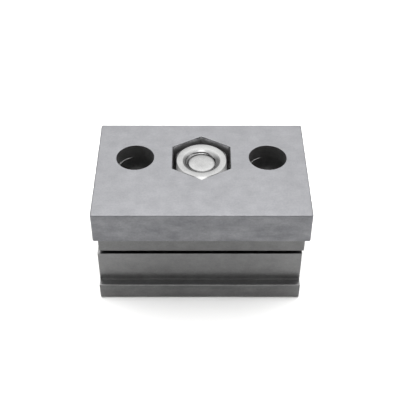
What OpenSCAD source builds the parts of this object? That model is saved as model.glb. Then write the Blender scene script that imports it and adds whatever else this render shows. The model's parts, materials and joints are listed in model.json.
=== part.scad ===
// Clamp base of a quick change tool post.
// A top plate and the key block under it sit on the edge of a slide. A foot with a lip hangs below them
// on one bolt, and the bolt draws the foot up so that the slide's edge is held between plate and lip.
// Units are millimetres. X runs along the plate, the lip faces -Y, and +Z is up.
// The origin is on the clamp bolt's axis, in the plane of the plate's underside.

/* [Top plate] */
// Length of the plate along X
plate_length = 78; // [76:1:110]
// Distance from the bolt's axis to the plate's front face
plate_front = 31.5; // [29:0.1:45]
// Distance from the bolt's axis to the back face, shared by all three blocks
block_back = 19.7; // [18:0.1:30]
// Thickness of the plate
plate_thickness = 12.7; // [12.5:0.1:20]
// Size of the broken edges of the blocks
edge_break = 0.3; // [0.1:0.1:0.6]
// Width of the corner relief groove in the underside, along the key block's front face
relief_width = 1.5; // [1:0.1:2.5]
// Depth of the corner relief groove
relief_depth = 0.5; // [0.3:0.1:1]

/* [Tool post screw holes] */
// Distance between the two bores that take the tool post's screws
post_spacing = 49.5; // [48:0.5:54]
// Diameter of the plain bores in the plate
post_bore = 14; // [13:0.1:15]
// Tapping diameter of the threaded holes in the key block, for an M12 thread
post_tap = 10.2; // [10.2:0.1:10.5]

/* [Nut] */
// Width of the plate's hexagonal opening across its flats
pocket_flats = 21.7; // [20.4:0.1:21.9]
// Width of the nut across its flats
nut_flats = 19; // [18:0.5:19]
// Height of the nut
nut_height = 9.6; // [9:0.1:10.5]
// Outer diameter of the washer under the nut
nut_washer_diameter = 20; // [18:0.5:20]
// Thickness of the washer under the nut
nut_washer_thickness = 1.8; // [1:0.1:2.2]

/* [Key block] */
// Distance from the bolt's axis to the key block's front face, which the foot's upper part shares
key_front = 20.3; // [18.5:0.1:24]
// Height of the key block
key_height = 16.7; // [14:0.1:20]

/* [Clamp foot] */
// Open gap between the key block and the foot
foot_gap = 1.4; // [0.5:0.1:2.5]
// Overall height of the foot
foot_height = 21.9; // [20.4:0.1:23.9]
// How far the lip stands out of the foot's front face
lip_projection = 3.3; // [2:0.1:6]
// Thickness of the lip
lip_thickness = 7.6; // [4:0.1:9]
// Radius of the inside corner above the lip
cove_radius = 0.1; // [0.1:0.1:2.4]
// Radius of the lip's lower front edge
lip_round = 1.2; // [0.3:0.1:2]
// Radius of the lip's upper front edge
lip_edge_round = 0.3; // [0.2:0.1:1]
// How far the foot's ends stand to the left of the plate's ends
foot_shift = 0.6; // [0:0.1:1]

/* [Clamp bolt] */
// Nominal thread diameter of the bolt
bolt_diameter = 12; // [11.5:0.1:12]
// Length of the bolt under its head
bolt_length = 40; // [38:0.5:40]
// Diameter of the bolt's head
head_diameter = 18; // [17:0.1:20]
// Height of the bolt's low head
head_height = 7; // [6:0.1:8]
// Width across flats of the hexagonal socket in the head
socket_flats = 8; // [6:0.5:9]
// Depth of the socket in the head
socket_depth = 4; // [2:0.1:4.5]
// Diameter of the clearance hole for the bolt in both lower blocks
bolt_hole = 13.5; // [12.5:0.1:13.5]
// Depth of the round recess in the foot's underside
recess_depth = 12.8; // [11.6:0.1:13.4]
// Diameter of the recess in the foot's underside
recess_diameter = 25; // [24.4:0.1:27]
// Outer diameter of the washer under the bolt's head
bolt_washer_diameter = 24; // [22:0.1:24.2]
// Thickness of the washer under the bolt's head
bolt_washer_thickness = 2.5; // [2:0.1:3]

/* [Guide pins and springs] */
// Distance of each guide pin from the bolt's axis along X
pin_x = 15; // [14.5:0.1:16]
// Distance of each guide pin from the bolt's axis along Y
pin_y = 12; // [11.5:0.1:12.5]
// Diameter of the guide pins
pin_diameter = 6; // [5:0.1:6]
// Length of the guide pins
pin_length = 28; // [24:0.5:28]
// Diameter of the spring pockets in the foot
pocket_diameter = 9.8; // [9.6:0.1:10.4]
// Depth of the spring pockets in the foot
pocket_depth = 8; // [6:0.1:8.5]
// Wire diameter of the springs
wire_diameter = 1; // [0.8:0.1:1.2]
// Diameter of the springs at the middle of the wire
coil_diameter = 7.9; // [7.8:0.1:8.2]
// Number of turns of each spring
coil_turns = 4; // [3:1:5]

/* [Key screws and dowels] */
// Distance of the key screws from the plate's ends
screw_inset = 6; // [6:0.1:7]
// Distance of the key screws from the bolt's axis along Y
screw_y = 12; // [11:0.1:12.5]
// Nominal diameter of the key screws
screw_diameter = 6; // [5:0.1:6]
// Length of the key screws under their heads
screw_length = 16; // [14:1:16]
// Diameter of the key screws' heads
screw_head_diameter = 10; // [9:0.1:10]
// Depth of the counterbores for the key screws' heads
counterbore_depth = 6.6; // [6.2:0.1:8]
// Diameter of the dowels
dowel_diameter = 6; // [5:0.1:6]
// Length of the dowels
dowel_length = 20; // [16:1:20]

/* [Shown] */
// The node to draw, or all of them

/* [Hidden] */
$fn = 96;
overcut = 1;
press_gap = 0.005;
running_gap = 0.05;
seat_gap = 0.02;
key_bottom = -key_height;
foot_top = key_bottom - foot_gap;
foot_bottom = foot_top - foot_height;
recess_top = foot_bottom + recess_depth;
head_top = recess_top - bolt_washer_thickness;
pocket_floor = foot_top - pocket_depth;
screw_x = plate_length / 2 - screw_inset;
screw_seat = key_bottom + counterbore_depth;
counterbore_diameter = screw_head_diameter + 1;
screw_head_height = 6;
screw_socket_flats = 5;
screw_socket_depth = 3;
screw_point_clearance = 1.8;
dowel_top = 8.5;
dowel_bottom = dowel_top - dowel_length;
dowel_hole_top = dowel_top + 0.5;
washer_hole = bolt_diameter + 1;
nut_chamfer_angle = 30;
pin_press_depth = 8;
steel = [0.62, 0.63, 0.65];
dark_steel = [0.48, 0.48, 0.49];
bright_steel = [0.82, 0.83, 0.84];

// Radius of the corners of a hexagon with this width across its flats.
function corner_radius(flats) = flats / (2 * cos(30));

// A flat shape in X and Y with its four corners cut off.
module cut_corner_square(x_size, y_size, cut) {
    a = x_size / 2;
    b = y_size / 2;
    polygon([[-a + cut, -b], [a - cut, -b], [a, -b + cut], [a, b - cut],
        [a - cut, b], [-a + cut, b], [-a, b - cut], [-a, -b + cut]]);
}

// A block centred on the origin with all twelve edges broken.
module broken_block(x_size, y_size, z_size, cut) {
    intersection() {
        linear_extrude(z_size, center = true)
            cut_corner_square(x_size, y_size, cut);
        rotate([90, 0, 0])
            linear_extrude(y_size, center = true)
                cut_corner_square(x_size, z_size, cut);
        rotate([90, 0, 90])
            linear_extrude(x_size, center = true)
                cut_corner_square(y_size, z_size, cut);
    }
}

// A block between two faces in Y and two in Z.
module placed_block(front, back, bottom, top) {
    translate([0, (back - front) / 2, (top + bottom) / 2])
        broken_block(plate_length, front + back, top - bottom, edge_break);
}

// A hexagonal prism with two corners on the Y axis, drawn a little oversize below and above.
module hexagon_cut(flats, bottom, top) {
    translate([0, 0, bottom])
        rotate(30)
            cylinder(h = top - bottom, r = corner_radius(flats), $fn = 6);
}

// A round cut between two heights.
module round_cut(diameter, bottom, top) {
    translate([0, 0, bottom])
        cylinder(h = top - bottom, d = diameter);
}

// Places its children at both post screw holes.
module at_post_holes() {
    for (side = [-1, 1])
        translate([side * post_spacing / 2, 0, 0])
            children();
}

// Places its children at the four key screws.
module at_key_screws() {
    for (side = [-1, 1], row = [-1, 1])
        translate([side * screw_x, row * screw_y, 0])
            children();
}

// Places its children at the two guide pins, front left and back right.
module at_guide_pins() {
    for (side = [-1, 1])
        translate([side * pin_x, side * pin_y, 0])
            children();
}

// Places its children at the two dowels, back left and front right.
module at_dowels() {
    for (side = [-1, 1])
        translate([side * pin_x, -side * pin_y, 0])
            children();
}

// A groove that parts the seat in front of the key block from the area that the block covers.
module corner_relief() {
    groove_length = plate_length + 2 * overcut;
    translate([-groove_length / 2, -key_front - relief_width, -overcut])
        cube([groove_length, relief_width, relief_depth + overcut]);
}

module top_plate() {
    color(steel)
        difference() {
            placed_block(plate_front, block_back, 0, plate_thickness);
            at_post_holes()
                round_cut(post_bore, -overcut, plate_thickness + overcut);
            hexagon_cut(pocket_flats, -overcut, plate_thickness + overcut);
            at_key_screws()
                round_cut(screw_diameter + 2 * press_gap, -overcut,
                    screw_seat + screw_length + screw_point_clearance);
            at_dowels()
                round_cut(dowel_diameter + 2 * press_gap, -overcut, dowel_hole_top);
            corner_relief();
        }
}

module key_block() {
    color(dark_steel)
        difference() {
            placed_block(key_front, block_back, key_bottom, 0);
            round_cut(bolt_hole, key_bottom - overcut, overcut);
            at_post_holes()
                round_cut(post_tap, key_bottom - overcut, overcut);
            at_key_screws() {
                round_cut(screw_diameter + 2 * press_gap, key_bottom, overcut);
                round_cut(counterbore_diameter, key_bottom - overcut, screw_seat);
            }
            at_dowels()
                round_cut(dowel_diameter + 2 * press_gap, key_bottom - overcut, overcut);
            at_guide_pins()
                round_cut(pin_diameter + 2 * running_gap, key_bottom - overcut, overcut);
        }
}

// A socket head screw that points up, with the underside of its head at height 0.
module socket_screw(shank, length, head, head_rise, flats, depth) {
    chamfer = shank / 12;
    head_cut = head / 30;
    difference() {
        rotate_extrude()
            polygon([[0, -head_rise], [head / 2 - head_cut, -head_rise],
                [head / 2, -head_rise + head_cut], [head / 2, 0], [shank / 2, 0],
                [shank / 2, length - chamfer], [shank / 2 - chamfer, length], [0, length]]);
        translate([0, 0, -head_rise])
            hexagon_cut(flats, -overcut, depth);
    }
}

module key_screws() {
    color(dark_steel)
        at_key_screws()
            translate([0, 0, screw_seat])
                socket_screw(screw_diameter, screw_length, screw_head_diameter, screw_head_height,
                    screw_socket_flats, screw_socket_depth);
}

// A round pin with both ends chamfered, standing on height 0.
module round_pin(diameter, length) {
    chamfer = diameter / 12;
    rotate_extrude()
        polygon([[0, 0], [diameter / 2 - chamfer, 0], [diameter / 2, chamfer],
            [diameter / 2, length - chamfer], [diameter / 2 - chamfer, length], [0, length]]);
}

module key_dowels() {
    color(bright_steel)
        at_dowels()
            translate([0, 0, dowel_bottom])
                round_pin(dowel_diameter, dowel_length);
}

// The shape that rounds off a nut's corners: a cylinder over the corners with both ends coned.
module nut_envelope(flats, height) {
    outer = corner_radius(flats) + overcut;
    inner = flats / 2 * 0.97;
    rise = (outer - inner) * tan(nut_chamfer_angle);
    rotate_extrude()
        polygon([[0, 0], [inner, 0], [outer, rise], [outer, height - rise], [inner, height], [0, height]]);
}

module clamp_nut() {
    bore = bolt_diameter / 2 + running_gap;
    countersink = bore + 0.6;
    color(bright_steel)
        translate([0, 0, nut_washer_thickness])
            difference() {
                intersection() {
                    hexagon_cut(nut_flats, 0, nut_height);
                    nut_envelope(nut_flats, nut_height);
                }
                rotate_extrude()
                    polygon([[0, -overcut], [countersink, -overcut], [countersink, 0],
                        [bore, countersink - bore], [bore, nut_height - countersink + bore],
                        [countersink, nut_height], [countersink, nut_height + overcut],
                        [0, nut_height + overcut]]);
            }
}

// A flat washer standing on height 0.
module flat_washer(outside, inside, thickness) {
    difference() {
        cylinder(h = thickness, d = outside);
        round_cut(inside, -overcut, thickness + overcut);
    }
}

module nut_washer() {
    color(bright_steel)
        flat_washer(nut_washer_diameter, washer_hole, nut_washer_thickness);
}

// A corner of this size with a round taken out of it, for adding an inside corner or cutting an edge.
module corner_fillet(radius) {
    difference() {
        square(radius);
        translate([radius, radius])
            circle(radius);
    }
}

// The foot's outline in Y and Z.
module foot_outline() {
    lip_top = foot_bottom + lip_thickness;
    lip_front = -key_front - lip_projection;
    difference() {
        union() {
            translate([-key_front, foot_bottom])
                square([key_front + block_back, foot_height]);
            translate([lip_front, foot_bottom])
                square([lip_projection + overcut, lip_thickness]);
            translate([-key_front, lip_top])
                mirror([1, 0])
                    corner_fillet(cove_radius);
        }
        translate([lip_front, foot_bottom])
            corner_fillet(lip_round);
        translate([lip_front, lip_top])
            mirror([0, 1])
                corner_fillet(lip_edge_round);
    }
}

module clamp_foot() {
    color(dark_steel)
        difference() {
            translate([-plate_length / 2 - foot_shift, 0, 0])
                rotate([90, 0, 90])
                    linear_extrude(plate_length)
                        foot_outline();
            round_cut(bolt_hole, foot_bottom, foot_top + overcut);
            round_cut(recess_diameter, foot_bottom - overcut, recess_top);
            at_guide_pins() {
                round_cut(pocket_diameter, pocket_floor, foot_top + overcut);
                round_cut(pin_diameter + 2 * press_gap, pocket_floor - pin_press_depth, foot_top);
            }
        }
}

module bolt_washer() {
    color(bright_steel)
        translate([0, 0, head_top])
            flat_washer(bolt_washer_diameter, washer_hole, bolt_washer_thickness);
}

// A guide pin pressed into the foot, on one side.
module guide_pin(side) {
    color(bright_steel)
        translate([side * pin_x, side * pin_y, pocket_floor - pin_press_depth])
            round_pin(pin_diameter, pin_length);
}

module guide_pin_left() {
    guide_pin(-1);
}

module guide_pin_right() {
    guide_pin(1);
}

// Half a ring of wire on the +Y side, run on by a small angle at both ends.
module half_turn(radius, wire, run_on) {
    rotate(-run_on)
        rotate_extrude(angle = 180 + 2 * run_on)
            translate([radius, 0])
                circle(d = wire);
}

// A coil spring around a guide pin: each turn is a level half ring and a climbing half ring.
// The climbing halves are a little thinner, and run on into the level ones, so that they join cleanly.
module coil_spring(side) {
    radius = coil_diameter / 2;
    space = key_bottom - pocket_floor - 2 * seat_gap;
    climb = (space - wire_diameter) / coil_turns;
    climbing_radius = sqrt(radius * radius + climb * climb / 4);
    climbing_wire = wire_diameter - 0.04;
    join_angle = 3;
    color(bright_steel)
        translate([side * pin_x, side * pin_y, pocket_floor + seat_gap + wire_diameter / 2]) {
            for (turn = [0:coil_turns])
                translate([0, 0, turn * climb])
                    half_turn(radius, wire_diameter, 0);
            for (turn = [0:coil_turns - 1])
                translate([0, 0, (turn + 0.5) * climb])
                    rotate([0, -asin(climb / 2 / climbing_radius), 0])
                        rotate(180)
                            half_turn(climbing_radius, climbing_wire, join_angle);
        }
}

module spring_left() {
    coil_spring(-1);
}

module spring_right() {
    coil_spring(1);
}

module clamp_bolt() {
    color(bright_steel)
        translate([0, 0, head_top])
            socket_screw(bolt_diameter, bolt_length, head_diameter, head_height, socket_flats, socket_depth);
}

top_plate();
key_block();
key_screws();
key_dowels();
clamp_nut();
nut_washer();
clamp_foot();
bolt_washer();
guide_pin_left();
guide_pin_right();
spring_left();
spring_right();
clamp_bolt();
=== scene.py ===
"""Clamp base of a quick change tool post: the visual model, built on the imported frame. Metres, +Z up."""
import json
import math
import bmesh
import bpy
from mathutils import Matrix, Vector, noise


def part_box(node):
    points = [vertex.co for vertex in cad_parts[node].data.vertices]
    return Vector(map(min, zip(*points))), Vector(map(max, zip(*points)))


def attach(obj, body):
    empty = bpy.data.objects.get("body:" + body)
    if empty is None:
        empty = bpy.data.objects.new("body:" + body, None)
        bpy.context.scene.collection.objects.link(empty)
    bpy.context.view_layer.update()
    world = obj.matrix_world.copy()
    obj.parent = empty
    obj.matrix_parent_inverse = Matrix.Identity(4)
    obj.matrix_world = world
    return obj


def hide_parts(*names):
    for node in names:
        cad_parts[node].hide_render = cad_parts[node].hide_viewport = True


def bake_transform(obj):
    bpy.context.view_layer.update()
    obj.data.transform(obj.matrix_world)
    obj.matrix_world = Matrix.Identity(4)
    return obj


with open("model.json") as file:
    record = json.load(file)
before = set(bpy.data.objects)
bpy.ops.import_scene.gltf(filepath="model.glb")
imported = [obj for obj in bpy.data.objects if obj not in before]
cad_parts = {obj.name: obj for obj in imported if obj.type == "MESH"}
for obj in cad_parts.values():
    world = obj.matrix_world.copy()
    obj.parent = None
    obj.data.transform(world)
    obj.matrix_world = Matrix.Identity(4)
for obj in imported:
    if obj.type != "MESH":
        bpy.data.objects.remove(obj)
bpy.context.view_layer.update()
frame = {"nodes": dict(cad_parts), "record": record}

MM = 0.001
RECORD = frame["record"]
MOUNTS = {m["name"]: m for m in RECORD["mounts"]}

# Camera: its place, its angles in degrees, and its focal length in millimetres on a 36 mm sensor.
CAMERA_PLACE = Vector((-0.97, -245.52, 218.89)) * MM
CAMERA_DOWN = 42.874
CAMERA_YAW = 0.103
CAMERA_ROLL = 0.087
CAMERA_LENS = 77.09

# Top plate: its edges, knocks and wear, its relief groove, its bores and the nut's opening.
PLATE_EDGE = 0.45 * MM
PLATE_LOWER_EDGE = 0.25 * MM
PLATE_CORNER = 0.8 * MM
CORNER_STEPS = 4
NICK_DEPTH = 0.22 * MM
NICK_SCALE = 900.0
NICK_START = 0.12
NICK_GAIN = 1.6
WEAR_GAIN = 0.22
WEAR_SCALE = 0.37
RELIEF_WIDTH = 1.5 * MM
RELIEF_DEPTH = 0.5 * MM
RELIEF_END = 0.8 * MM
BORE_EDGE = 0.20 * MM
POCKET_EDGE = 0.25 * MM
LEDGE_BELOW_TOP = 5.7 * MM
LEDGE_HALF_HEIGHT = 0.03 * MM
LEDGE_SHIFT = Vector((0.36, 0.08, 0)) * MM
POCKET_FLATS = 21.7 * MM

# Painted shade on the lip's face, darker in patches: how far below the lip's top and in front of the web it
# starts, and its tones as shares of the foot's. KEY_SHARE is the key block's tone as a share of the foot's.
LIP_FACE_BELOW = 0.25 * MM
LIP_SHADE_DARK = (0.70, 0.70, 0.70)
LIP_SHADE_LIGHT = (0.86, 0.86, 0.86)
KEY_SHARE = 0.80

# Painted light on the machined walls of the bores and of the nut's opening: lighter tones with ring bands.
WALL_STARTS_BELOW = 0.35 * MM
BORE_REACH = 35 * MM
POCKET_REACH = 11.5 * MM
WALL_REACH_Y = 15 * MM
WALL_LIGHTEST = 1.25
BORE_WALL_PAINTED_LIGHT = (0.26, 0.26, 0.26)
POCKET_WALL_PAINTED_LIGHT = (0.62, 0.62, 0.63)

# Studio: where the bright ceiling and the dark side are, and how bright each part is.
STUDIO_CEILING = (0, 0.34, 0.94)
STUDIO_FRONT_LIGHT = (0, -0.41, 0.91)
STUDIO_DARK_SIDE = (0, -0.99, 0.12)
STUDIO_BRIGHT = 3.55
STUDIO_FRONT_BRIGHT = 3.4
STUDIO_WALLS = 0.80
STUDIO_DIM = 0.05
DARK_SIDE_START = 0.86
DARK_SIDE_FULL = 0.97
CEILING_START = 0.62
CEILING_FULL = 0.98
FRONT_LIGHT_START = 0.927
FRONT_LIGHT_FULL = 0.985

# Softboxes at both sides, and the floor. Metres and watts.
SOFTBOX_X = 0.75
SOFTBOX_Y = -0.1
SOFTBOX_Z = 0.35
SOFTBOX_SIZE = (0.5, 0.6)
SOFTBOX_POWER = 2
FLOOR_REACH = 6.0

# Thread of the M12 coarse bolt and its nut. THREAD_CREST and THREAD_ROOT say where the crest ends and
# the root starts, as shares of half a pitch from the crest's middle.
PITCH = 1.75 * MM
BOLT_MAJOR = 5.92 * MM
BOLT_MINOR = 4.98 * MM
NUT_MAJOR = 6.04 * MM
NUT_MINOR = 5.12 * MM
THREAD_ROOT = 0.75
THREAD_CREST = 0.125
THREAD_STEPS = 12
ROUND_STEPS = 96
TIP_FLAT_RADIUS = 3.9 * MM
TIP_CROWN = 5.0 * MM

# Nut: its corner chamfer and its countersink, with slopes in degrees.
NUT_CHAMFER = 30
NUT_CHAMFER_START = 0.965
NUT_END_STEP = 0.10 * MM
NUT_END_STEPS = 19
NUT_MOUTH = 7.0 * MM
NUT_MOUTH_SLOPE = 32
NUT_MOUTH_ROUND = 0.5 * MM
NUT_MOUTH_LEAD = 0.45

# Bolt: its head, its hexagon socket and its plain shank. The washers' holes clear the shank.
HEAD_HEIGHT = 7 * MM
HEAD_ROUND = 0.2 * MM
HEAD_FOOT_IN = 0.7 * MM
HEAD_FOOT_UP = 0.6 * MM
HEAD_FOOT_MIDDLE_IN = 0.3 * MM
HEAD_FOOT_MIDDLE_UP = 0.15 * MM
SOCKET_APOTHEM = 4 * MM
SOCKET_DEPTH = 4 * MM
SOCKET_MOUTH = 0.3 * MM
SOCKET_MOUTH_RADIUS = 5.0 * MM
DRILL_POINT_RISE = 0.7 * MM
DRILL_POINT_APOTHEM = 0.5 * MM
SHANK_RADIUS = 5.98 * MM
SHANK_LENGTH = 8 * MM
SHANK_FILLET = 0.5 * MM
SHANK_FILLET_RADIUS = 6.5 * MM
THREAD_RUN_OUT = 1 * MM
WASHER_HOLE = 6.5 * MM
WASHER_EDGE = 0.25 * MM

# Springs, and the foot's edges: those that turn by more than BEVEL_OVER degrees are rounded.
WIRE_RADIUS = 0.5 * MM
SPRING_TURNS = 5
SPRING_CLOSED_TURNS = 0.7
FOOT_EDGE = 0.3 * MM
BEVEL_OVER = 40


# ---------------------------------------------------------------- mesh helpers

def new_piece(name, bm, material, body, slot, *nodes):
    """Turns a bmesh into a shaded piece that rides on a body and stands for CAD nodes."""
    bmesh.ops.remove_doubles(bm, verts=bm.verts, dist=1e-7)
    bmesh.ops.recalc_face_normals(bm, faces=bm.faces)
    mesh = bpy.data.meshes.new(name)
    bm.to_mesh(mesh)
    bm.free()
    piece = bpy.data.objects.new(name, mesh)
    bpy.context.scene.collection.objects.link(piece)
    mesh.materials.append(material)
    for polygon in mesh.polygons:
        polygon.use_smooth = True
    weighted_normals(piece)
    if body:
        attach(piece, body)
    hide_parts(*nodes)
    return piece


def weighted_normals(obj):
    """Keeps flat faces flat and small rounded edges smooth."""
    modifier = obj.modifiers.new("normals", "WEIGHTED_NORMAL")
    modifier.keep_sharp = True
    modifier.weight = 100


def ring(bm, points):
    return [bm.verts.new(p) for p in points]


def skin(bm, rings, closed=False):
    """Joins rings of equal length with quads."""
    pairs = list(zip(rings[:-1], rings[1:]))
    if closed:
        pairs.append((rings[-1], rings[0]))
    for a, b in pairs:
        count = len(a)
        for i in range(count):
            j = (i + 1) % count
            bm.faces.new((a[i], a[j], b[j], b[i]))


def ring_edges(bm, verts):
    edges = []
    for i, v in enumerate(verts):
        w = verts[(i + 1) % len(verts)]
        edges.append(bm.edges.get((v, w)) or bm.edges.new((v, w)))
    return edges


def circle_points(centre, radius, z, count=ROUND_STEPS):
    turn = 2 * math.pi / count
    return [Vector((centre[0] + radius * math.cos(i * turn), centre[1] + radius * math.sin(i * turn), z))
            for i in range(count)]


def hexagon_radius(angle, apothem):
    """Distance from the middle to a hexagon with two corners on the Y axis."""
    sector = math.pi / 3
    return apothem / math.cos((angle + sector / 2) % sector - sector / 2)


def hexagon_points(apothem, z, count=ROUND_STEPS):
    turn = 2 * math.pi / count
    return [Vector((math.cos(i * turn), math.sin(i * turn), 0)) * hexagon_radius(i * turn, apothem)
            + Vector((0, 0, z)) for i in range(count)]


def rectangle_points(lo, hi, inset, corner, z, step=1.0 * MM):
    """A rectangle with rounded corners, with points all along its sides."""
    radius = max(corner - inset, 0.05 * MM)
    x0, y0, x1, y1 = lo.x + inset, lo.y + inset, hi.x - inset, hi.y - inset
    across = max(2, round((hi.x - lo.x) / step))
    along = max(2, round((hi.y - lo.y) / step))
    corners = [(x1 - radius, y0 + radius, -90, across), (x1 - radius, y1 - radius, 0, along),
               (x0 + radius, y1 - radius, 90, across), (x0 + radius, y0 + radius, 180, along)]
    points = []
    for k, (cx, cy, start, _) in enumerate(corners):
        for i in range(CORNER_STEPS + 1):
            a = math.radians(start + 90 / CORNER_STEPS * i)
            points.append(Vector((cx + radius * math.cos(a), cy + radius * math.sin(a), z)))
        nx, ny, nstart, _ = corners[(k + 1) % 4]
        a = math.radians(nstart)
        end = Vector((nx + radius * math.cos(a), ny + radius * math.sin(a), z))
        begin = points[-1].copy()
        count = corners[(k + 1) % 4][3]
        points += [begin.lerp(end, i / count) for i in range(1, count)]
    return points


def rounded_edge(edge, steps=3):
    """(inset, drop) pairs from a face's rim to a wall, round a quarter circle."""
    return [(edge * (1 - math.sin(a)), edge * (1 - math.cos(a)))
            for a in (math.pi / 2 * i / steps for i in range(steps + 1))]


def nicked(points, centre, depth):
    """Small knocks and slight wear along an edge, which move points inwards only."""
    moved = []
    for p in points:
        patchiness = WEAR_GAIN * abs(noise.noise(p * NICK_SCALE * WEAR_SCALE))
        knock = max(0.0, noise.noise(p * NICK_SCALE) - NICK_START) * NICK_GAIN + patchiness
        inwards = Vector((centre.x - p.x, centre.y - p.y, 0)).normalized()
        moved.append(p + inwards * depth * min(knock, 1.0))
    return moved


def turned(profile, count=ROUND_STEPS):
    """Rings of a turned shape from (radius, z) pairs."""
    return [circle_points((0, 0), r, z, count) for r, z in profile]


def cap(bm, verts):
    bm.faces.new(verts)


# ---------------------------------------------------------------- thread

def thread_radius(angle, z, minor, major):
    """Radius of a right-hand trapezoidal thread at an angle and height."""
    phase = (z / PITCH - angle / (2 * math.pi)) % 1.0
    t = abs(phase - 0.5) * 2
    share = min(max((THREAD_ROOT - t) / (THREAD_ROOT - THREAD_CREST), 0.0), 1.0)
    return minor + (major - minor) * share


def threaded_rings(z0, z1, minor, major, limit):
    """Rings of a threaded wall between two heights; limit(radius, z) trims it to a cone or countersink."""
    count = max(2, round((z1 - z0) / PITCH * THREAD_STEPS))
    turn = 2 * math.pi / ROUND_STEPS
    rings = []
    for k in range(count + 1):
        z = z0 + (z1 - z0) * k / count
        rings.append([Vector((math.cos(i * turn), math.sin(i * turn), 0))
                      * limit(thread_radius(i * turn, z, minor, major), z) + Vector((0, 0, z))
                      for i in range(ROUND_STEPS)])
    return rings


# ---------------------------------------------------------------- materials

def node(tree, kind, **inputs):
    made = tree.nodes.new(kind)
    for key, value in inputs.items():
        made.inputs[key.replace("_", " ")].default_value = value
    return made


def stretched_noise(tree, coords, stretch, detail=6.0, roughness=0.6):
    """Noise in object space, with its own scale along each axis."""
    mapping = node(tree, "ShaderNodeMapping", Scale=stretch)
    tree.links.new(coords.outputs["Object"], mapping.inputs["Vector"])
    texture = node(tree, "ShaderNodeTexNoise", Scale=1.0, Detail=detail, Roughness=roughness)
    tree.links.new(mapping.outputs["Vector"], texture.inputs["Vector"])
    return texture


def ramp(tree, source, low, high, a, b):
    """Two colours or values between two places of a noise."""
    made = tree.nodes.new("ShaderNodeValToRGB")
    made.color_ramp.elements[0].position = low
    made.color_ramp.elements[1].position = high
    made.color_ramp.elements[0].color = a if len(a) == 4 else (*a, 1)
    made.color_ramp.elements[1].color = b if len(b) == 4 else (*b, 1)
    tree.links.new(source, made.inputs["Fac"])
    return made


def steel(name, dark, light, rough, grain, mottle=70.0, speck=1500.0, bump=0.10, metallic=1.0, spread=0.08,
          streak=(60, 420, 420), streak_depth=0.06):
    """Worked steel: cloudy colour, fine specks, grain along one direction, and uneven polish."""
    material = bpy.data.materials.new(name)
    material.use_nodes = True
    tree = material.node_tree
    shader = tree.nodes["Principled BSDF"]
    shader.inputs["Metallic"].default_value = metallic
    coords = tree.nodes.new("ShaderNodeTexCoord")
    clouds = stretched_noise(tree, coords, (mottle, mottle, mottle), 5.0, 0.6)
    tone = ramp(tree, clouds.outputs["Fac"], 0.32, 0.68, dark, light)
    specks = stretched_noise(tree, coords, (speck, speck, speck), 3.0, 0.7)
    speck_tone = ramp(tree, specks.outputs["Fac"], 0.30, 0.70, (0.86, 0.86, 0.86), (1.0, 1.0, 1.0))
    streaks = stretched_noise(tree, coords, streak, 4.0, 0.6)
    low = 1.0 - streak_depth
    streak_tone = ramp(tree, streaks.outputs["Fac"], 0.34, 0.66, (low, low, low), (1.0, 1.0, 1.0))
    speckled = multiplied(tree, tone.outputs["Color"], speck_tone.outputs["Color"])
    tree.links.new(multiplied(tree, speckled, streak_tone.outputs["Color"]), shader.inputs["Base Color"])
    lines = stretched_noise(tree, coords, grain, 4.0, 0.65)
    polish = tree.nodes.new("ShaderNodeMapRange")
    polish.inputs["To Min"].default_value = rough - spread
    polish.inputs["To Max"].default_value = rough + spread
    tree.links.new(lines.outputs["Fac"], polish.inputs["Value"])
    tree.links.new(polish.outputs["Result"], shader.inputs["Roughness"])
    relief = node(tree, "ShaderNodeBump", Strength=bump, Distance=0.05 * MM)
    tree.links.new(lines.outputs["Fac"], relief.inputs["Height"])
    tree.links.new(relief.outputs["Normal"], shader.inputs["Normal"])
    return material


def combine(tree, operation, first, second=None):
    """One sum on one or two values, each a socket or a number."""
    made = tree.nodes.new("ShaderNodeMath")
    made.operation = operation
    for socket, value in zip(made.inputs, (first, second)):
        if isinstance(value, (int, float)):
            socket.default_value = value
        elif value is not None:
            tree.links.new(value, socket)
    return made.outputs["Value"]


def multiplied(tree, first, second, share=1.0):
    """One colour times another, by a share that is a number or a socket."""
    mix = tree.nodes.new("ShaderNodeMix")
    mix.data_type = "RGBA"
    mix.blend_type = "MULTIPLY"
    if isinstance(share, float):
        mix.inputs["Factor"].default_value = share
    else:
        tree.links.new(share, mix.inputs["Factor"])
    tree.links.new(first, mix.inputs["A"])
    tree.links.new(second, mix.inputs["B"])
    return mix.outputs["Result"]


def inside_box(tree, coords, half_x, half_y, top):
    """1 inside a box round the part's middle and below a height, and 0 outside it."""
    parts = tree.nodes.new("ShaderNodeSeparateXYZ")
    tree.links.new(coords.outputs["Object"], parts.inputs["Vector"])
    inside = combine(tree, "LESS_THAN", parts.outputs["Z"], top)
    for axis, half in (("X", half_x), ("Y", half_y)):
        distance = combine(tree, "ABSOLUTE", parts.outputs[axis])
        inside = combine(tree, "MULTIPLY", inside, combine(tree, "LESS_THAN", distance, half))
    return inside


def plate_skin():
    """The plate's steel before its sides and its inner walls are changed."""
    return steel("plate_steel", (0.161, 0.162, 0.169), (0.186, 0.187, 0.195), 0.42, (260, 1300, 1300),
                 mottle=170.0, bump=0.20, streak=(150, 320, 320), streak_depth=0.05)


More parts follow.
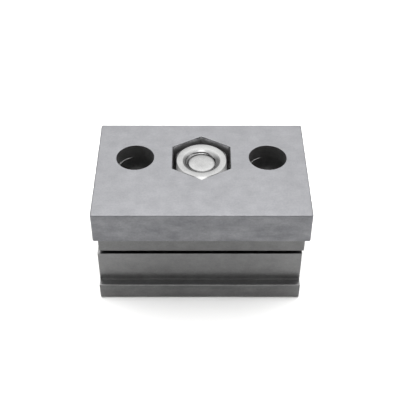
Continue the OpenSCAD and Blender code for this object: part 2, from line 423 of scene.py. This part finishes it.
def plate_steel():
    """The plate's worked skin: cloudier on its sides, and with painted light on the machined walls inside, a
    lighter colour with ring bands.
    """
    material = plate_skin()
    tree = material.node_tree
    shader = tree.nodes["Principled BSDF"]
    colour = shader.inputs["Base Color"].links[0].from_socket
    coords = tree.nodes.new("ShaderNodeTexCoord")
    normal = tree.nodes.new("ShaderNodeSeparateXYZ")
    tree.links.new(coords.outputs["Normal"], normal.inputs["Vector"])
    upright = combine(tree, "SUBTRACT", 1.0, combine(tree, "ABSOLUTE", normal.outputs["Z"]))
    clouds = stretched_noise(tree, coords, (120, 120, 260), 7.0, 0.66)
    cloud_tone = ramp(tree, clouds.outputs["Fac"], 0.34, 0.66, (0.70, 0.705, 0.72), (1.0, 1.0, 1.0))
    colour = multiplied(tree, colour, cloud_tone.outputs["Color"], upright)
    rings = stretched_noise(tree, coords, (200, 200, 2600), 4.0, 0.6)
    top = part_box("top_plate")[1].z - WALL_STARTS_BELOW
    # Painted light: the walls inside the bores and the nut's opening get a lighter colour with ring bands.
    for reach, painted_wall_light in ((BORE_REACH, BORE_WALL_PAINTED_LIGHT), (POCKET_REACH, POCKET_WALL_PAINTED_LIGHT)):
        mix = tree.nodes.new("ShaderNodeMix")
        mix.data_type = "RGBA"
        tree.links.new(inside_box(tree, coords, reach, WALL_REACH_Y, top), mix.inputs["Factor"])
        tree.links.new(colour, mix.inputs["A"])
        wall_light_tone = ramp(tree, rings.outputs["Fac"], 0.35, 0.65, painted_wall_light, [WALL_LIGHTEST * c for c in painted_wall_light])
        tree.links.new(wall_light_tone.outputs["Color"], mix.inputs["B"])
        colour = mix.outputs["Result"]
    tree.links.new(colour, shader.inputs["Base Color"])
    return material


def block_steel(name="block_steel", share=1.0):
    """Milled steel, darker than the plate's; share makes one block a little darker than the other."""
    dark, light = (tuple([share * value] * 3) for value in (0.150, 0.175))
    return steel(name, dark, light, 0.32, (160, 1900, 1900), mottle=200.0, bump=0.14, streak_depth=0.05)


def foot_steel():
    """The foot's steel, with painted shade on its lip's face: darker in patches."""
    material = block_steel("foot_steel")
    tree = material.node_tree
    shader = tree.nodes["Principled BSDF"]
    colour = shader.inputs["Base Color"].links[0].from_socket
    coords = tree.nodes.new("ShaderNodeTexCoord")
    parts = tree.nodes.new("ShaderNodeSeparateXYZ")
    tree.links.new(coords.outputs["Object"], parts.inputs["Vector"])
    seat, web = MOUNTS["lip_seat"]["pos_m"][2], MOUNTS["slide_edge_stop"]["pos_m"][1]
    # Painted shade: the lip's face, below its top and in front of the web, is made darker in patches.
    lip = combine(tree, "MULTIPLY", combine(tree, "LESS_THAN", parts.outputs["Z"], seat - LIP_FACE_BELOW),
                  combine(tree, "LESS_THAN", parts.outputs["Y"], web - LIP_FACE_BELOW))
    patchiness = stretched_noise(tree, coords, (90, 300, 300), 4.0, 0.6)
    lip_shade_tone = ramp(tree, patchiness.outputs["Fac"], 0.35, 0.65, LIP_SHADE_DARK, LIP_SHADE_LIGHT)
    tree.links.new(multiplied(tree, colour, lip_shade_tone.outputs["Color"], lip), shader.inputs["Base Color"])
    return material


def zinc_plate():
    return steel("zinc_plate", (0.175, 0.175, 0.175), (0.235, 0.235, 0.234), 0.20, (900, 900, 900),
                 speck=2600.0, bump=0.05)


def ground_steel():
    return steel("ground_steel", (0.50, 0.50, 0.51), (0.60, 0.60, 0.61), 0.22, (1200, 1200, 120), bump=0.05)


def black_steel():
    return steel("black_steel", (0.030, 0.030, 0.033), (0.055, 0.055, 0.060), 0.42, (1000, 1000, 1000),
                 bump=0.08, metallic=0.85)


def spring_wire():
    return steel("spring_wire", (0.34, 0.34, 0.35), (0.44, 0.44, 0.45), 0.34, (1400, 1400, 400), bump=0.06)


# ---------------------------------------------------------------- pieces

def bore_rings(bm, centre, radius, top, bottom):
    """A drilled bore with broken edges, and the ledge where the drillings from above and below meet."""
    ledge = top - LEDGE_BELOW_TOP
    levels = [(radius + i, top - d, 0) for i, d in rounded_edge(BORE_EDGE)]
    levels += [(radius, ledge + LEDGE_HALF_HEIGHT, 0), (radius, ledge - LEDGE_HALF_HEIGHT, 1)]
    levels += [(radius + i, bottom + d, 1) for i, d in reversed(rounded_edge(BORE_EDGE))]
    rings = [ring(bm, circle_points(centre + LEDGE_SHIFT * low, r, z)) for r, z, low in levels]
    first = len(rounded_edge(BORE_EDGE))
    for rim in rings[first:first + 2]:
        for edge in ring_edges(bm, rim):
            edge.smooth = False
    return rings


def relief_rings(bm, lo, hi):
    """The corner relief groove in the plate's underside, along the key block's front."""
    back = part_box("key_block")[0].y
    x0, x1, y0 = lo.x + RELIEF_END, hi.x - RELIEF_END, back - RELIEF_WIDTH
    return [ring(bm, [Vector((x0, y0, z)), Vector((x1, y0, z)), Vector((x1, back, z)), Vector((x0, back, z))])
            for z in (lo.z + RELIEF_DEPTH, lo.z)]


def build_top_plate(material):
    lo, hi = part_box("top_plate")
    bm = bmesh.new()
    centre = (lo + hi) / 2
    outer = []
    for inset, drop in rounded_edge(PLATE_EDGE):
        points = rectangle_points(lo, hi, inset, PLATE_CORNER, hi.z - drop)
        outer.append(ring(bm, nicked(points, centre, NICK_DEPTH)))
    for inset, drop in reversed(rounded_edge(PLATE_LOWER_EDGE)):
        points = rectangle_points(lo, hi, inset, PLATE_CORNER, lo.z + drop)
        outer.append(ring(bm, nicked(points, centre, NICK_DEPTH)))
    skin(bm, outer)
    inner = []
    for name in ("post_bore_left", "post_bore_right"):
        place = Vector(MOUNTS[name]["pos_m"])
        radius = MOUNTS[name]["dims"]["r_mm"] * MM
        inner.append(bore_rings(bm, Vector((place.x, place.y, 0)), radius, hi.z, lo.z))
    levels = [(POCKET_FLATS / 2 + i, hi.z - d) for i, d in rounded_edge(POCKET_EDGE)]
    levels += [(POCKET_FLATS / 2 + i, lo.z + d) for i, d in reversed(rounded_edge(POCKET_EDGE))]
    inner.append([ring(bm, hexagon_points(a, z)) for a, z in levels])
    for rings in inner:
        skin(bm, rings)
    groove = relief_rings(bm, lo, hi)
    skin(bm, groove)
    cap(bm, groove[0])
    for k in (0, -1):
        edges = ring_edges(bm, outer[k])
        for rings in inner:
            edges += ring_edges(bm, rings[k])
        if k:
            edges += ring_edges(bm, groove[k])
        bmesh.ops.triangle_fill(bm, use_beauty=True, use_dissolve=False, edges=edges)
    return new_piece("plate_detail", bm, material, "plate", "plate_steel", "top_plate")


def nut_outer_radius(angle, z, apothem, lo, hi):
    """A hexagon rounded off by a shallow cone at both ends."""
    cone = NUT_CHAMFER_START * apothem + min(z - lo, hi - z) / math.tan(math.radians(NUT_CHAMFER))
    return min(hexagon_radius(angle, apothem), cone)


def build_nut(material):
    lo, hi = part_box("clamp_nut")
    apothem = (hi.x - lo.x) / 2
    turn = 2 * math.pi / ROUND_STEPS
    bm = bmesh.new()
    fine = [i * NUT_END_STEP for i in range(NUT_END_STEPS)]
    heights = [lo.z + h for h in fine] + [lo.z + (hi.z - lo.z) * k / 8 for k in range(3, 6)]
    heights += [hi.z - h for h in reversed(fine)]
    rings = []
    for z in heights:
        rings.append(ring(bm, [Vector((math.cos(i * turn), math.sin(i * turn), 0))
                               * nut_outer_radius(i * turn, z, apothem, lo.z, hi.z) + Vector((0, 0, z))
                               for i in range(ROUND_STEPS)]))

    def limit(radius, z):
        """The countersink: a rounded rim that runs into a shallow cone."""
        depth = min(z - lo.z, hi.z - z)
        rim = min(depth / NUT_MOUTH_ROUND, 1.0)
        lead = NUT_MOUTH_ROUND * NUT_MOUTH_LEAD * (1 - rim) ** 2
        return max(radius, NUT_MOUTH - depth / math.tan(math.radians(NUT_MOUTH_SLOPE)) + lead)

    bore = list(reversed(threaded_rings(lo.z, hi.z, NUT_MINOR, NUT_MAJOR, limit)))
    rings += [ring(bm, points) for points in bore]
    skin(bm, rings, closed=True)
    return new_piece("nut_detail", bm, material, "plate", "zinc_plate", "clamp_nut")


def build_bolt(material):
    lo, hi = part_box("clamp_bolt")
    head = (hi.x - lo.x) / 2
    head_top = lo.z + HEAD_HEIGHT
    socket_top = lo.z + SOCKET_DEPTH
    thread_start = head_top + SHANK_LENGTH + THREAD_RUN_OUT
    bm = bmesh.new()

    def tip(radius, z):
        """The bolt's crowned end."""
        return min(radius, TIP_FLAT_RADIUS + math.sqrt(max(hi.z - z, 0) * TIP_CROWN))

    rings = [ring(bm, hexagon_points(DRILL_POINT_APOTHEM, socket_top + DRILL_POINT_RISE)),
             ring(bm, hexagon_points(SOCKET_APOTHEM, socket_top)),
             ring(bm, hexagon_points(SOCKET_APOTHEM, lo.z + SOCKET_MOUTH)),
             ring(bm, circle_points((0, 0), SOCKET_MOUTH_RADIUS, lo.z))]
    rings += [ring(bm, points) for points in turned([
        (head - HEAD_FOOT_IN, lo.z),
        (head - HEAD_FOOT_MIDDLE_IN, lo.z + HEAD_FOOT_MIDDLE_UP),
        (head, lo.z + HEAD_FOOT_UP),
        (head, head_top - HEAD_ROUND),
        (head - HEAD_ROUND, head_top),
        (SHANK_FILLET_RADIUS, head_top),
        (SHANK_RADIUS, head_top + SHANK_FILLET),
        (SHANK_RADIUS, head_top + SHANK_LENGTH)])]
    thread = threaded_rings(thread_start, hi.z, BOLT_MINOR, BOLT_MAJOR, tip)
    rings += [ring(bm, points) for points in thread]
    rings.append(ring(bm, circle_points((0, 0), TIP_FLAT_RADIUS, hi.z)))
    rings.append(ring(bm, circle_points((0, 0), TIP_FLAT_RADIUS * 0.5, hi.z)))
    skin(bm, rings)
    cap(bm, rings[0])
    cap(bm, rings[-1])
    return new_piece("bolt_detail", bm, material, "bolt", "zinc_plate", "clamp_bolt")


def build_washer(name, cad_node, body, material):
    lo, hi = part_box(cad_node)
    hole, outside, edge = WASHER_HOLE, (hi.x - lo.x) / 2, WASHER_EDGE
    bm = bmesh.new()
    rings = [ring(bm, points) for points in turned([
        (hole, lo.z + edge), (hole + edge, lo.z), (outside - edge, lo.z), (outside, lo.z + edge),
        (outside, hi.z - edge), (outside - edge, hi.z), (hole + edge, hi.z), (hole, hi.z - edge)])]
    skin(bm, rings, closed=True)
    return new_piece(name, bm, material, body, "zinc_plate", cad_node)


def build_spring(name, cad_node, material):
    """A smooth wire helix with closed ends, built in the CAD spring's box between the two bodies that it
    stands on.
    """
    lo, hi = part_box(cad_node)
    centre = (lo + hi) / 2
    wire = WIRE_RADIUS
    coil = (hi.x - lo.x) / 2 - wire
    turns, per_turn, section = SPRING_TURNS, 48, 12
    bm = bmesh.new()
    rings = []
    for k in range(turns * per_turn + 1):
        share = k / (turns * per_turn)
        climbed = (share * turns - SPRING_CLOSED_TURNS) / (turns - 2 * SPRING_CLOSED_TURNS)
        eased = min(max(climbed, 0.0), 1.0)
        angle = 2 * math.pi * k / per_turn
        middle = Vector((centre.x + coil * math.cos(angle), centre.y + coil * math.sin(angle),
                         lo.z + wire + eased * (hi.z - lo.z - 2 * wire)))
        out = Vector((math.cos(angle), math.sin(angle), 0))
        rings.append(ring(bm, [middle + out * wire * math.cos(a) + Vector((0, 0, wire * math.sin(a)))
                               for a in (2 * math.pi * i / section for i in range(section))]))
    skin(bm, rings)
    cap(bm, rings[0])
    cap(bm, rings[-1])
    piece = new_piece(name, bm, material, None, "spring_wire", cad_node)
    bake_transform(piece)
    return piece


def dress_cad(node_name, material, edge):
    """Gives a carried-over CAD node its material, and rounds its sharp edges where edge isn't 0."""
    obj = frame["nodes"][node_name]
    obj.data.materials.clear()
    obj.data.materials.append(material)
    weld = obj.modifiers.new("weld", "WELD")
    weld.merge_threshold = 1e-6
    if edge:
        bevel = obj.modifiers.new("edges", "BEVEL")
        bevel.width = edge
        bevel.segments = 3
        bevel.limit_method = "ANGLE"
        bevel.angle_limit = math.radians(BEVEL_OVER)
    weighted_normals(obj)


# ---------------------------------------------------------------- surroundings

def build_floor():
    lo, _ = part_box("clamp_foot")
    bm = bmesh.new()
    bmesh.ops.create_grid(bm, x_segments=8, y_segments=8, size=FLOOR_REACH)
    mesh = bpy.data.meshes.new("floor")
    bm.to_mesh(mesh)
    bm.free()
    floor = bpy.data.objects.new("floor", mesh)
    floor.location.z = lo.z
    bpy.context.scene.collection.objects.link(floor)
    material = bpy.data.materials.new("pale_floor")
    material.use_nodes = True
    tree = material.node_tree
    shader = tree.nodes["Principled BSDF"]
    shader.inputs["Roughness"].default_value = 0.75
    shader.inputs["Specular IOR Level"].default_value = 0.2
    coords = tree.nodes.new("ShaderNodeTexCoord")
    paper = stretched_noise(tree, coords, (9, 9, 9))
    tone = ramp(tree, paper.outputs["Fac"], 0.3, 0.7, (0.745, 0.745, 0.741), (0.765, 0.765, 0.761))
    tree.links.new(tone.outputs["Color"], shader.inputs["Base Color"])
    mesh.materials.append(material)


def softbox(name, place, aim, size, power):
    light = bpy.data.lights.new(name, "AREA")
    light.shape = "RECTANGLE"
    light.size, light.size_y = size
    light.energy = power
    obj = bpy.data.objects.new(name, light)
    obj.location = place
    obj.rotation_euler = (Vector(aim) - Vector(place)).to_track_quat("-Z", "Y").to_euler()
    bpy.context.scene.collection.objects.link(obj)


def glow(tree, coords, direction, start, full, low, high):
    """A smooth patch of studio light around a direction."""
    toward = tree.nodes.new("ShaderNodeVectorMath")
    toward.operation = "DOT_PRODUCT"
    toward.inputs[1].default_value = Vector(direction).normalized()
    tree.links.new(coords.outputs["Generated"], toward.inputs[0])
    patch = tree.nodes.new("ShaderNodeMapRange")
    patch.interpolation_type = "SMOOTHSTEP"
    for key, value in (("From Min", start), ("From Max", full), ("To Min", low), ("To Max", high)):
        patch.inputs[key].default_value = value
    tree.links.new(toward.outputs["Value"], patch.inputs["Value"])
    return patch.outputs["Result"]


def build_world():
    """A white studio, brightest above, with a light high in front and a dim strip low in front."""
    world = bpy.data.worlds.new("studio")
    bpy.context.scene.world = world
    world.use_nodes = True
    tree = world.node_tree
    background = tree.nodes["Background"]
    coords = tree.nodes.new("ShaderNodeTexCoord")
    ceiling = glow(tree, coords, STUDIO_CEILING, CEILING_START, CEILING_FULL, STUDIO_WALLS,
                   STUDIO_WALLS + STUDIO_BRIGHT)
    front = glow(tree, coords, STUDIO_FRONT_LIGHT, FRONT_LIGHT_START, FRONT_LIGHT_FULL, 0.0,
                 STUDIO_FRONT_BRIGHT)
    dim = glow(tree, coords, STUDIO_DARK_SIDE, DARK_SIDE_START, DARK_SIDE_FULL, 1.0, STUDIO_DIM)
    lit = combine(tree, "ADD", ceiling, front)
    tree.links.new(combine(tree, "MULTIPLY", lit, dim), background.inputs["Strength"])
    background.inputs["Color"].default_value = (1.0, 1.0, 1.0, 1)


def build_lights():
    for name, side in (("left", -1), ("right", 1)):
        place = (side * SOFTBOX_X, SOFTBOX_Y, SOFTBOX_Z)
        softbox(name, place, (0, 0, 0), SOFTBOX_SIZE, SOFTBOX_POWER)


def build_camera():
    data = bpy.data.cameras.new("camera")
    data.sensor_width = 36
    data.lens = CAMERA_LENS
    data.clip_start = 0.01
    data.clip_end = 50
    camera = bpy.data.objects.new("camera", data)
    turn = Matrix.Rotation(math.radians(-CAMERA_YAW), 4, "Z")
    tilt = Matrix.Rotation(math.radians(90 - CAMERA_DOWN), 4, "X")
    roll = Matrix.Rotation(math.radians(CAMERA_ROLL), 4, "Z")
    camera.matrix_world = Matrix.Translation(CAMERA_PLACE) @ turn @ tilt @ roll
    bpy.context.scene.collection.objects.link(camera)
    bpy.context.scene.camera = camera


build_camera()
build_world()
build_lights()
build_floor()
bpy.context.scene.view_settings.view_transform = "Standard"

plate, zinc, foot = plate_steel(), zinc_plate(), foot_steel()
key = block_steel("key_steel", KEY_SHARE)
ground, black, wire = ground_steel(), black_steel(), spring_wire()
build_top_plate(plate)
build_nut(zinc)
build_bolt(zinc)
build_washer("nut_washer_detail", "nut_washer", "plate", zinc)
build_washer("bolt_washer_detail", "bolt_washer", "foot", zinc)
build_spring("spring_left_wire", "spring_left", wire)
build_spring("spring_right_wire", "spring_right", wire)
dress_cad("key_block", key, 0)
dress_cad("clamp_foot", foot, FOOT_EDGE)
dress_cad("key_screws", black, 0)
dress_cad("key_dowels", ground, 0)
dress_cad("guide_pin_left", ground, 0)
dress_cad("guide_pin_right", ground, 0)
